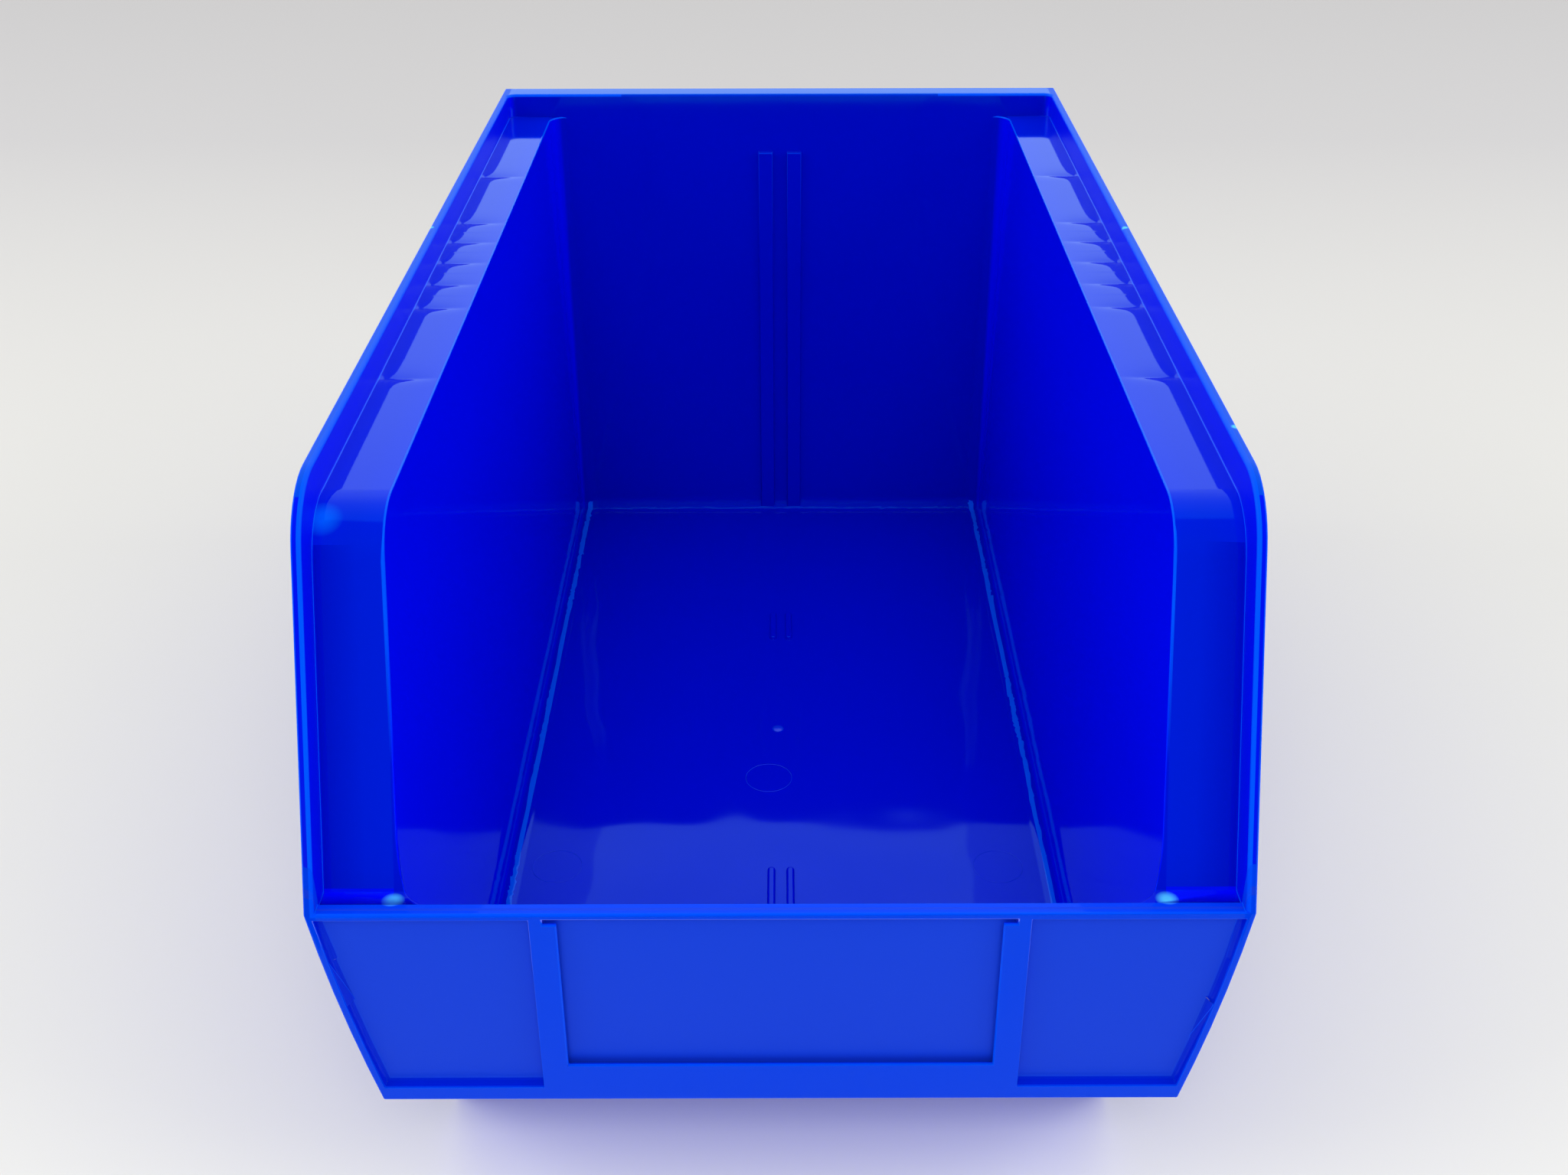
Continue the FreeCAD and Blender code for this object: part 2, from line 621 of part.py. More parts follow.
def finish_base():
    """Round upright edges at the back, a rounded foot and a standing ring under the floor."""
    half = number(wall_across("0", 1))
    back = number(back_inside("0") + " + S.side_wall")

    def upright_at_back(edge):
        box = edge.BoundBox
        tall = box.ZLength > number("W.skirt_foot") / 2
        outside = min(abs(box.XMin), abs(box.XMax)) > half - SAME_PLACE
        return tall and outside and box.YMin > back - SAME_PLACE

    round_edges("WallCorner", upright_at_back, "S.wall_corner")
    round_edges("BaseEdge", lambda edge: level(edge, 0), "S.base_edge")
    sketch = new_sketch("RingOutline", "XY_Plane")
    half = wall_across("0", 1) + " - S.base_ring_width"
    back = back_inside("0") + " + S.side_wall - S.base_ring_width"
    front = "W.base_front + S.base_ring_width"
    draw_box(sketch, negative(half), half, front, back, "S.wall_corner")
    extrude("Pocket", "StandingRing", sketch, "S.base_ring_height", reverse=True)


def write_parts():
    """Check everything, then write the solid under its own name."""
    for item in document.Objects:
        if {"Invalid", "Error"} & set(item.State):
            raise RuntimeError(item.Name + " is not valid")
    shape = body.Shape
    if shape.isNull() or not shape.isValid() or len(shape.Solids) != 1:
        raise RuntimeError("the bin is not one valid solid")
    os.makedirs("parts", exist_ok=True)
    shape.exportStep(os.path.join("parts", body.Label + ".step"))
    print("volume %.0f mm3, %d faces" % (shape.Volume, len(shape.Faces)))


document = FreeCAD.newDocument("storage_bin")
add_sheets(document)
body = document.addObject("PartDesign::Body", "Bin")
body.Label = "bin_body"
add_envelope()
cut_stacking_step()
round_rim()
cut_cavity()
cut_sides()
cut_hanger()
cut_label_panel()
finish_base()
add_label_holder()
add_side_ribs()
add_divider_ribs()
write_parts()
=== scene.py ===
"""The look of a stack-and-hang storage bin: its moulded skin, its finish and the studio around it.

Everything is in metres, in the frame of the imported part. X runs across the bin,
Y from the label panel to the back, Z up, and the bin stands on Z = 0.
"""
import math

import bmesh
import bpy
from mathutils import Euler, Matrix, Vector


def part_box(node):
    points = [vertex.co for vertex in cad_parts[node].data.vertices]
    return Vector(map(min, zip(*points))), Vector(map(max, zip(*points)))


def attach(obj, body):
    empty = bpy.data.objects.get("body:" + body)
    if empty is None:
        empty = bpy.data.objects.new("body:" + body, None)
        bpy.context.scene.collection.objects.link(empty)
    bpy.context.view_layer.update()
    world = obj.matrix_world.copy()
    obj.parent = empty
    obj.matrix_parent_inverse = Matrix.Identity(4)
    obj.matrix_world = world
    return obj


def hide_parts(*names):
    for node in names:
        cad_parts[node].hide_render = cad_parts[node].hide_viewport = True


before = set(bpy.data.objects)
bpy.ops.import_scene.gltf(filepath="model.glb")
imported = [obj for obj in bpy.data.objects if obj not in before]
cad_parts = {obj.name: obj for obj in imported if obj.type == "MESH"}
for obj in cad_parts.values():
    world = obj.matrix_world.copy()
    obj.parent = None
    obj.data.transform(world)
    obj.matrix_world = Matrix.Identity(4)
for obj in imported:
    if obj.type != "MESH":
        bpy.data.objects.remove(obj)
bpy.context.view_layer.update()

bl_info = {
    "name": "Storage bin",
    "version": (1, 0, 0),
    "blender": (4, 5, 0),
    "location": "3D View > Sidebar > Storage bin",
    "description": "Builds the skin, the finish and the studio of a moulded storage bin",
    "category": "Object",
}

MM = 0.001
BODY = "root"
BIN_NODE = "bin_body"
BIN_SLOT = "blue_plastic"
BIN_LOW, BIN_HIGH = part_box(BIN_NODE)

# Heights and places on the bin that the skin and its finish refer to
LEDGE_TOP = BIN_HIGH.z - 8.5 * MM
LEDGE_INNER = 87.0 * MM
LEDGE_OUTER = BIN_HIGH.x - 2.2 * MM
LIP_TOP = 92.0 * MM
HOPPER_TOP = BIN_LOW.y + 37.5 * MM
PANEL_FACE = BIN_LOW.y + 2.1 * MM
FLOOR_TOP = 3.0 * MM
RIB_MIDDLE = 16.0 * MM
RIB_PITCH = 18.5 * MM
RIB_COUNT = 5
FIN_SPACING = 173.0 * MM
EDGE_SHARE = "edge_share"

# A rounding narrower than this is left out
LEAST_RADIUS = 0.05 * MM
# How blunt the bottom of a sink mark is, as a share of the mark's run
BLUNT = 0.2

# Places of small nicks in the rim's edge, each shown only as a painted highlight spot
RIM_NICKS = [
    (-105.0 * MM, 23.5 * MM, 178.0 * MM),
    (103.6 * MM, 22.0 * MM, 178.0 * MM),
    (104.8 * MM, -119.0 * MM, 178.0 * MM),
    (105.0 * MM, -143.0 * MM, 172.0 * MM),
]
NICK_RADIUS = 1.3 * MM

# How far up a face's normal points where the face counts as looking up, and where as steep
LOOKS_UP = 0.3
STEEP = 0.6


class BinSkinSettings(bpy.types.PropertyGroup):
    """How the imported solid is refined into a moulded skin."""

    edge_radius: bpy.props.FloatProperty(
        name="Edge radius", description="Rounding of most outer edges",
        default=0.4 * MM, min=0.0, unit="LENGTH")
    rim_radius: bpy.props.FloatProperty(
        name="Rim radius", description="Rounding of the inner edge of the rim and of the back",
        default=0.9 * MM, min=0.0, unit="LENGTH")
    ledge_radius: bpy.props.FloatProperty(
        name="Sloping ledge radius", description="Rounding of the inner edge of the sloping ledges",
        default=1.1 * MM, min=0.0, unit="LENGTH")
    corner_radius: bpy.props.FloatProperty(
        name="Corner radius", description="Rounding of the inner corners",
        default=0.3 * MM, min=0.0, unit="LENGTH")
    edge_steps: bpy.props.IntProperty(
        name="Edge steps", description="Faces across each rounded edge", default=3, min=1)
    sharp_angle: bpy.props.FloatProperty(
        name="Sharp angle", description="Outer edges that turn more than this are rounded",
        default=math.radians(25), subtype="ANGLE")
    inner_angle: bpy.props.FloatProperty(
        name="Inner angle", description="Inner corners that turn more than this are rounded",
        default=math.radians(55), subtype="ANGLE")
    sink_depth: bpy.props.FloatProperty(
        name="Sink depth", description="How far the ledge sinks over each rib",
        default=0.5 * MM, unit="LENGTH")
    sink_back: bpy.props.FloatProperty(
        name="Sink run behind", description="How far a sink mark runs out behind its rib",
        default=3.2 * MM, unit="LENGTH")
    sink_front: bpy.props.FloatProperty(
        name="Sink run in front", description="How far a sink mark runs out in front of its rib",
        default=1.6 * MM, unit="LENGTH")


class BinFinishSettings(bpy.types.PropertyGroup):
    """Colours and gloss of the plastic, among them painted light, shade and highlights."""

    plastic: bpy.props.FloatVectorProperty(
        name="Plastic", description="Colour of the moulded plastic where it is thick or deep",
        subtype="COLOR", size=4, min=0.0, max=1.0, default=(0.0, 0.004, 0.68, 1.0))
    # Painted light: a lighter copy of the plastic, laid on the inner side walls and on the shelf behind
    # the lip
    lit_wall_plastic: bpy.props.FloatVectorProperty(
        name="Lit wall plastic", description="Colour of the side walls, lit from outside too",
        subtype="COLOR", size=4, min=0.0, max=1.0, default=(0.0, 0.002, 0.95, 1.0))
    ledge_plastic: bpy.props.FloatVectorProperty(
        name="Ledge plastic", description="Colour of the ledges",
        subtype="COLOR", size=4, min=0.0, max=1.0, default=(0.0, 0.010, 0.70, 1.0))
    # Painted shade: a darker copy of the plastic, laid on towards the back and on the sloping ledges' band
    # under the rim
    painted_shade_plastic: bpy.props.FloatVectorProperty(
        name="Painted shade plastic", description="Colour deep inside, towards the back",
        subtype="COLOR", size=4, min=0.0, max=1.0, default=(0.0, 0.004, 0.56, 1.0))
    # Painted light: a lighter copy of the plastic on the thin rims, standing in for the light that they
    # let through
    lit_thin_plastic: bpy.props.FloatVectorProperty(
        name="Lit thin plastic", description="Colour of the thin rims, which let light through",
        subtype="COLOR", size=4, min=0.0, max=1.0, default=(0.0, 0.004, 0.84, 1.0))
    # Partly painted sheen: the satin panel's own blue with a greener haze that stands in for the light it
    # reflects
    panel_plastic_and_sheen: bpy.props.FloatVectorProperty(
        name="Panel plastic and sheen", description="Colour of the satin label panel",
        subtype="COLOR", size=4, min=0.0, max=1.0, default=(0.006, 0.045, 0.74, 1.0))
    # Partly painted sheen: the frame's own blue made lighter and greener where it faces the front, in
    # place of reflected light
    frame_plastic_and_sheen: bpy.props.FloatVectorProperty(
        name="Frame plastic and sheen", description="Colour of the panel's frame, the guides and the lip",
        subtype="COLOR", size=4, min=0.0, max=1.0, default=(0.0, 0.046, 0.84, 1.0))
    # Painted shade: a darker copy of the plastic on the walls of the label panel's recess
    shaded_recess_plastic: bpy.props.FloatVectorProperty(
        name="Shaded recess plastic", description="Colour of the walls of the label panel's recess",
        subtype="COLOR", size=4, min=0.0, max=1.0, default=(0.0, 0.012, 0.66, 1.0))
    # Painted sheen: a paler, greener tone on the rim's level top, standing in for its reflection
    top_sheen_colour: bpy.props.FloatVectorProperty(
        name="Top sheen", description="Colour of the rim's level top",
        subtype="COLOR", size=4, min=0.0, max=1.0, default=(0.0, 0.10, 0.64, 1.0))
    # Painted highlight: a lighter, greener colour on the rounded edges
    edge_highlight: bpy.props.FloatVectorProperty(
        name="Edge highlight", description="Colour of the rounded edges, which catch the light",
        subtype="COLOR", size=4, min=0.0, max=1.0, default=(0.0, 0.085, 0.98, 1.0))
    glint: bpy.props.FloatVectorProperty(
        name="Glint", description="Tint of the reflections seen straight on", subtype="COLOR",
        size=4, min=0.0, max=1.0, default=(0.0, 0.42, 1.0, 1.0))
    gloss_roughness: bpy.props.FloatProperty(
        name="Gloss roughness", description="Roughness of the polished faces",
        default=0.05, min=0.0, max=1.0, subtype="FACTOR")
    rim_roughness: bpy.props.FloatProperty(
        name="Rim roughness", description="Roughness of the rims", default=0.35, min=0.0, max=1.0,
        subtype="FACTOR")
    caught_light: bpy.props.FloatVectorProperty(
        name="Caught light", description="Colour of the corners that catch the light",
        subtype="COLOR", size=4, min=0.0, max=1.0, default=(0.08, 0.55, 1.0, 1.0))
    # Painted highlight colour for the inner corners and the spot on the ledge's bend
    groove_light: bpy.props.FloatVectorProperty(
        name="Groove light", description="Colour of the inner corners along the floor and the rim",
        subtype="COLOR", size=4, min=0.0, max=1.0, default=(0.0, 0.11, 0.90, 1.0))
    # Places of painted highlight spots
    corner_spot: bpy.props.FloatVectorProperty(
        name="Corner spot", description="Place of the bright corner by the lip, on the right",
        subtype="TRANSLATION", size=3, default=(86.5 * MM, -181.5 * MM, 92.5 * MM))
    bend_spot: bpy.props.FloatVectorProperty(
        name="Bend spot", description="Place of the bright spot on the left ledge's bend",
        subtype="TRANSLATION", size=3, default=(-101.0 * MM, -143.5 * MM, 169.3 * MM))
    # Painted light: a blue glow on the faces under the front, which lights the table in place of light let
    # through and bounced by the plastic
    glow_colour: bpy.props.FloatVectorProperty(
        name="Glow colour", description="Colour of the light that the front wall lets through",
        subtype="COLOR", size=4, min=0.0, max=1.0, default=(0.38, 0.40, 1.0, 1.0))
    under_glow: bpy.props.FloatProperty(
        name="Underside glow", description="Blue light that comes out under the front wall",
        default=0.28, min=0.0)
    panel_roughness: bpy.props.FloatProperty(
        name="Panel roughness", description="Roughness of the satin label panel",
        default=0.38, min=0.0, max=1.0, subtype="FACTOR")


class BinMarkSettings(bpy.types.PropertyGroup):
    """Where the moulding left its marks on the floor."""

    middle_ring: bpy.props.FloatVectorProperty(
        name="Middle ring", description="Place of the ejector ring in the middle of the floor",
        subtype="TRANSLATION", size=3, default=(-4.0 * MM, -17.4 * MM, 3.0 * MM))
    left_ring: bpy.props.FloatVectorProperty(
        name="Left ring", description="Place of the left ejector ring",
        subtype="TRANSLATION", size=3, default=(-69.0 * MM, -62.8 * MM, 3.0 * MM))
    right_ring: bpy.props.FloatVectorProperty(
        name="Right ring", description="Place of the right ejector ring",
        subtype="TRANSLATION", size=3, default=(67.0 * MM, -63.3 * MM, 3.0 * MM))
    ring_radius: bpy.props.FloatProperty(
        name="Ring radius", description="Radius of an ejector ring", default=7.6 * MM, unit="LENGTH")
    ring_width: bpy.props.FloatProperty(
        name="Ring width", description="Half the width of the raised line",
        default=0.1 * MM, unit="LENGTH")
    gate_place: bpy.props.FloatVectorProperty(
        name="Gate place", description="Where the plastic came into the mould",
        subtype="TRANSLATION", size=3, default=(-1.0 * MM, 10.8 * MM, 3.0 * MM))
    gate_radius: bpy.props.FloatProperty(
        name="Gate radius", description="Radius of the gate's nub", default=2.0 * MM, unit="LENGTH")
    gate_flatness: bpy.props.FloatProperty(
        name="Gate flatness", description="Height of the gate's nub as a share of its radius",
        default=0.25, min=0.0, max=1.0, subtype="FACTOR")


class BinStudioSettings(bpy.types.PropertyGroup):
    """Camera, floor and light."""

    camera_place: bpy.props.FloatVectorProperty(
        name="Camera place", description="Where the camera stands", subtype="TRANSLATION",
        size=3, default=(0.752 * MM, -477.888 * MM, 345.415 * MM))
    camera_turn: bpy.props.FloatVectorProperty(
        name="Camera turn", description="Pitch, roll and yaw of the camera", subtype="EULER",
        size=3, default=(math.radians(59.679), math.radians(0.090), math.radians(-0.102)))
    camera_lens: bpy.props.FloatProperty(
        name="Lens", description="Focal length on a 36 mm wide sensor, in millimetres", default=39.479)
    floor_size: bpy.props.FloatProperty(
        name="Floor size", description="Side of the square floor", default=12.0, unit="LENGTH")
    floor_colour: bpy.props.FloatVectorProperty(
        name="Floor colour", description="Colour of the table top", subtype="COLOR",
        size=4, min=0.0, max=1.0, default=(0.825, 0.825, 0.775, 1.0))
    # Painted shade: the table darker far behind the bin
    far_shade_colour: bpy.props.FloatVectorProperty(
        name="Far floor shade", description="Colour of the table top far behind the bin",
        subtype="COLOR", size=4, min=0.0, max=1.0, default=(0.635, 0.63, 0.64, 1.0))
    fade_start: bpy.props.FloatProperty(
        name="Fade start", description="Where along the table the far colour sets in",
        default=-0.15, unit="LENGTH")
    fade_end: bpy.props.FloatProperty(
        name="Fade end", description="Where along the table the far colour is full",
        default=0.75, unit="LENGTH")
    sky_colour: bpy.props.FloatVectorProperty(
        name="Sky colour", description="Colour of the light tent", subtype="COLOR",
        size=4, min=0.0, max=1.0, default=(1.0, 0.995, 0.98, 1.0))
    mirrored_colour: bpy.props.FloatVectorProperty(
        name="Mirrored colour", description="Tint of the light tent in the reflections", subtype="COLOR",
        size=4, min=0.0, default=(0.75, 1.1, 1.8, 1.0))
    sky_strength: bpy.props.FloatProperty(
        name="Sky strength", description="Brightness of the light tent behind the bin", default=0.9)
    room_strength: bpy.props.FloatProperty(
        name="Room strength", description="Brightness of the dim room in front of the bin", default=0.3)
    mirrored_room: bpy.props.FloatProperty(
        name="Mirrored room", description="Brightness of the room in front in the reflections",
        default=0.12)
    mirrored_edge: bpy.props.FloatVectorProperty(
        name="Mirrored edge", description="Between which heights the mirrored room turns into the tent",
        size=2, default=(0.64, 0.74))
    side_place: bpy.props.FloatVectorProperty(
        name="Side lamp place", description="Where the right soft lamp hangs; the left one is its mirror",
        subtype="TRANSLATION", size=3, default=(1.7, -0.25, 0.95))
    side_power: bpy.props.FloatProperty(
        name="Side lamp power", description="Power of each soft lamp at the sides",
        default=11.0, unit="POWER")
    front_place: bpy.props.FloatVectorProperty(
        name="Front lamp place", description="Where the soft lamp over the camera hangs",
        subtype="TRANSLATION", size=3, default=(0.0, -1.3, 1.3))
    front_power: bpy.props.FloatProperty(
        name="Front lamp power", description="Power of the soft lamp over the camera", default=7.0,
        unit="POWER")


class NodeSheet:
    """Adds labelled nodes to a tree and joins them, left to right."""

    def __init__(self, tree):
        self.tree = tree
        self.count = 0

    def add(self, kind, label, values=None, **options):
        node = self.tree.nodes.new(kind)
        node.label = label
        node.location = (200 * self.count, -40 * (self.count % 5))
        self.count += 1
        for option, value in options.items():
            setattr(node, option, value)
        for socket, value in (values or {}).items():
            self.feed(node.inputs[socket], value)
        return node

    def feed(self, socket, value):
        if isinstance(value, bpy.types.NodeSocket):
            self.tree.links.new(value, socket)
        else:
            socket.default_value = value

    def sum_up(self, operation, label, *values):
        """One Math node; values are numbers or sockets."""
        node = self.add("ShaderNodeMath", label, operation=operation)
        for index, value in enumerate(values):
            self.feed(node.inputs[index], value)
        return node.outputs[0]

    def product(self, label, first, *others):
        """All the shares at once: their product."""
        for other in others:
            first = self.sum_up("MULTIPLY", label, first, other)
        return first

    def between(self, label, value, low, high):
        """1 where a value lies between two bounds, else 0."""
        return self.sum_up("COMPARE", label, value, (low + high) / 2, (high - low) / 2)

    def ramp(self, label, value, start, end, low=0.0, high=1.0, run="LINEAR"):
        """From low to high while a value runs from start to end."""
        node = self.add("ShaderNodeMapRange", label, {
            "Value": value, "From Min": start, "From Max": end, "To Min": low, "To Max": high},
            interpolation_type=run)
        return node.outputs[0]

    def mix(self, label, share, first, second):
        """A mix of two numbers or sockets."""
        node = self.add("ShaderNodeMix", label, {"Factor": share, "A": first, "B": second})
        return node.outputs["Result"]

    def blend(self, label, share, first, second):
        """A mix of two colours; the share, and each colour, is a value or a socket."""
        node = self.add("ShaderNodeMix", label, data_type="RGBA")
        self.feed(node.inputs["Factor"], share)
        colours = [socket for socket in node.inputs if socket.type == "RGBA"]
        self.feed(colours[0], first)
        self.feed(colours[1], second)
        return next(socket for socket in node.outputs if socket.type == "RGBA")

    def noise(self, label, place, scale, detail):
        """A soft noise over a place."""
        node = self.add("ShaderNodeTexNoise", label, {"Vector": place, "Scale": scale, "Detail": detail})
        return node.outputs["Fac"]

    def spot(self, label, place, centre, radius):
        """1 at a centre, fading to 0 at a radius."""
        away = self.add("ShaderNodeVectorMath", "away from it", {0: place, 1: centre},
                        operation="DISTANCE")
        return self.ramp(label, away.outputs["Value"], radius, radius * 0.5)


class BinPlaces:
    """Where a point of the skin lies, which way it looks, and the parts of the bin that it is in."""

    def __init__(self, sheet):
        self.place = sheet.add("ShaderNodeTexCoord", "place on the bin").outputs["Object"]
        split = sheet.add("ShaderNodeSeparateXYZ", "across, along, up", {"Vector": self.place})
        across, self.along, self.height = split.outputs
        facing = sheet.add("ShaderNodeNewGeometry", "facing").outputs["Normal"]
        facing = sheet.add("ShaderNodeSeparateXYZ", "facing across, along, up", {"Vector": facing})
        self.looks_up = facing.outputs["Z"]

        self.from_middle = sheet.sum_up("ABSOLUTE", "from the middle", across)
        self.sideways = sheet.sum_up("ABSOLUTE", "faces sideways", facing.outputs["X"])
        mirrored = sheet.add("ShaderNodeCombineXYZ", "as on the right", {
            "X": self.from_middle, "Y": self.along, "Z": self.height})
        self.mirrored = mirrored.outputs[0]
        outwards = sheet.sum_up("MULTIPLY", "away from the middle", across, facing.outputs["X"])
        self.inwards = sheet.sum_up("LESS_THAN", "faces inwards", outwards, 0.01 * MM)
        self.upwards = sheet.sum_up("GREATER_THAN", "faces upwards", self.looks_up, LOOKS_UP)

        self.front = sheet.sum_up("LESS_THAN", "front", self.along, PANEL_FACE + 2.4 * MM)
        self.panel = sheet.between(
            "label panel", self.along, PANEL_FACE - 0.4 * MM, PANEL_FACE + 0.4 * MM)
        rim = sheet.ramp("rim", self.from_middle, LEDGE_OUTER - 0.6 * MM, LEDGE_OUTER - 0.1 * MM)
        high = sheet.ramp("high on the bin", self.height, BIN_HIGH.z / 3, BIN_HIGH.z / 2)
        inside = sheet.sum_up("MAXIMUM", "inside or top", self.inwards, self.upwards)
        self.thin_rim = sheet.product("thin rim", rim, high, inside)
        ledge = sheet.ramp("ledge", self.from_middle, LEDGE_INNER - 0.3 * MM, LEDGE_INNER - 0.1 * MM)
        self.ledge_top = sheet.product("ledge's top", ledge, self.upwards)


def moulded_colour(sheet, here, finish):
    """The tint of the plastic inside the bin, where thin walls let light through: painted light on the
    side walls, the shelf behind the lip and the thin rims, a painted sheen on the rim's level top, and
    painted shade towards the back and on the sloping ledges.
    """
    dull = [channel * 0.93 for channel in finish.plastic[:3]] + [1.0]
    shade = sheet.blend("pigment", sheet.noise("melt flow", here.place, 9.0, 2.0), dull, finish.plastic)
    # Painted shade: darker towards the back of the bin
    back = sheet.ramp("towards the back", here.along, BIN_LOW.y / 2, BIN_HIGH.y)
    shade = sheet.blend("deep inside", back, shade, finish.painted_shade_plastic)

    # Painted light on the inner side walls
    side = sheet.ramp("side", here.from_middle, LEDGE_INNER - 4 * MM, LEDGE_INNER - 3 * MM)
    upright = sheet.ramp("upright wall", here.sideways, 0.2, 0.8)
    wall = sheet.product("inner wall", side, here.inwards, upright)
    shade = sheet.blend("side walls", wall, shade, finish.lit_wall_plastic)

    # Painted shade: the sloping ledges darker in a band under the rim
    by_rim = sheet.ramp("under the rim", here.from_middle, LEDGE_INNER + 6 * MM, LEDGE_OUTER - MM)
    steep = sheet.sum_up("LESS_THAN", "steep", here.looks_up, STEEP)
    shaded = sheet.product("shaded slope", by_rim, steep)
    ledge = sheet.blend("sloping ledge", shaded, finish.ledge_plastic, finish.painted_shade_plastic)
    # Painted light on the shelf behind the lip, which lies in shade
    shelf = sheet.sum_up("LESS_THAN", "shelf behind the lip", here.height, LIP_TOP)
    ledge = sheet.blend("ledge", shelf, ledge, finish.lit_wall_plastic)
    shade = sheet.blend("ledges", here.ledge_top, shade, ledge)

    # Painted light on the thin rims
    shade = sheet.blend("thin rims", here.thin_rim, shade, finish.lit_thin_plastic)
    # Painted sheen on the rim's level top, strongest where it faces straight up
    level = sheet.ramp("level top", here.looks_up, 0.5, 0.95, high=0.7)
    high = sheet.sum_up("GREATER_THAN", "rim's height", here.height, BIN_HIGH.z - 3 * MM)
    return sheet.blend("rim's tops", sheet.product("rim's top", level, high), shade, finish.top_sheen_colour)


def front_colour(sheet, here, finish, shade):
    """The label panel, its frame and its recess over the plastic's tint, with a painted sheen on the panel
    and frame and painted shade on the recess's walls.
    """
    # The front's colours: the plastic's blue with a painted sheen
    shade = sheet.blend("front", here.front, shade, finish.frame_plastic_and_sheen)
    shade = sheet.blend("panel", here.panel, shade, finish.panel_plastic_and_sheen)
    # Painted shade on the recess's walls
    recess = sheet.between("recess's walls", here.along, PANEL_FACE - 1.55 * MM, PANEL_FACE - 0.1 * MM)
    low = sheet.sum_up("LESS_THAN", "below the lip", here.height, LIP_TOP - 2 * MM)
    return sheet.blend("recess", sheet.product("in the recess", recess, low), shade, finish.shaded_recess_plastic)


def edge_colour(sheet, here, finish, shade):
    """Painted highlights on rounded edges and inner corners that catch the light, over the plastic's tint.
    """
    low = sheet.ramp("low on the slope", here.height, 118 * MM, 150 * MM)
    outside = sheet.sum_up("GREATER_THAN", "rim", here.from_middle, LEDGE_INNER + MM)
    shown = sheet.sum_up("MAXIMUM", "rim or front", outside, here.front)
    shown = sheet.sum_up("MAXIMUM", "or high", shown, low)
    softer = sheet.sum_up("MULTIPLY_ADD", "softer in front", here.front, -0.45, 1.0)
    behind = sheet.sum_up("SUBTRACT", "behind the front", 1.0, here.front)
    middle = sheet.sum_up("LESS_THAN", "in the middle", here.from_middle, 60 * MM)
    rib = sheet.product("middle ribs", middle, behind)
    fainter = sheet.sum_up("MULTIPLY_ADD", "fainter on ribs", rib, -0.7, 1.0)
    edge = sheet.add("ShaderNodeAttribute", "rounded edge", attribute_name=EDGE_SHARE).outputs["Fac"]
    edge = sheet.product("edge that shows", edge, shown, softer, fainter)
    # Painted highlights on the rounded edges
    shade = sheet.blend("edges", edge, shade, finish.edge_highlight)

    # Painted highlights along the inner corners by the floor and at the rim's foot
    by_floor = sheet.between("by the floor", here.height, FLOOR_TOP, FLOOR_TOP + 3.5 * MM)
    inside = sheet.between("inside", here.from_middle, 70 * MM, LEDGE_INNER - MM)
    floor_corner = sheet.product("floor corner", by_floor, inside)
    rim_corner = sheet.between(
        "rim corner", here.from_middle, LEDGE_OUTER - 0.5 * MM, LEDGE_OUTER + 0.1 * MM)
    groove = sheet.sum_up("MAXIMUM", "floor or rim", floor_corner, rim_corner)
    tilted = sheet.between("tilted across", here.sideways, 0.35, 0.65)
    groove = sheet.product("groove", groove, tilted, here.upwards)
    return sheet.blend("grooves", groove, shade, finish.groove_light)


def spot_colour(sheet, here, finish, shade):
    """Painted highlights on small places where a corner, the left ledge's bend or a nick in the rim
    catches a lamp.
    """
    corner = sheet.spot("corner by the lip", here.mirrored, finish.corner_spot, 3 * MM)
    shade = sheet.blend("caught at the corner", corner, shade, finish.caught_light)
    bend = sheet.spot("spot on the bend", here.place, finish.bend_spot, 5.5 * MM)
    bend = sheet.product("only on the ledge", bend, here.ledge_top)
    shade = sheet.blend("caught at the bend", bend, shade, finish.groove_light)
    for nick in RIM_NICKS:
        spot = sheet.spot("nick", here.place, nick, NICK_RADIUS)
        # Painted highlight at each nick
        shade = sheet.blend("nick in the rim", spot, shade, finish.caught_light)
    return shade


def plastic_gloss(sheet, here, finish):
    """Roughness and specular level: polished inside, satin on the panel, duller on rims and front."""
    least, most = finish.gloss_roughness * 0.7, finish.gloss_roughness * 1.3
    grain = sheet.noise("polish", here.place, 60.0, 3.0)
    roughness = sheet.ramp("uneven polish", grain, 0.0, 1.0, least, most)
    roughness = sheet.mix("gloss or satin", here.panel, roughness, finish.panel_roughness)
    roughness = sheet.mix("or rim", here.thin_rim, roughness, finish.rim_roughness)
    level = sheet.sum_up("MULTIPLY_ADD", "duller in front", here.front, -0.22, 0.5)
    level = sheet.sum_up("MULTIPLY_ADD", "less gloss on the rim", here.thin_rim, -0.38, level)
    return roughness, level


def floor_warp(sheet, here):
    """A normal that lets the wide floor, and hardly the rest, reflect unevenly."""
    warp = sheet.noise("warp", here.place, 22.0, 1.0)
    low = sheet.sum_up("LESS_THAN", "on the floor", here.height, FLOOR_TOP + MM)
    inner = sheet.sum_up("LESS_THAN", "between the walls", here.from_middle, LEDGE_INNER)
    depth = sheet.ramp("warp depth", sheet.product("floor", low, inner), 0.0, 1.0, 0.06 * MM, 0.7 * MM)
    bump = sheet.add("ShaderNodeBump", "slight warp", {
        "Strength": 1.0, "Distance": depth, "Height": warp})
    return bump.outputs["Normal"]


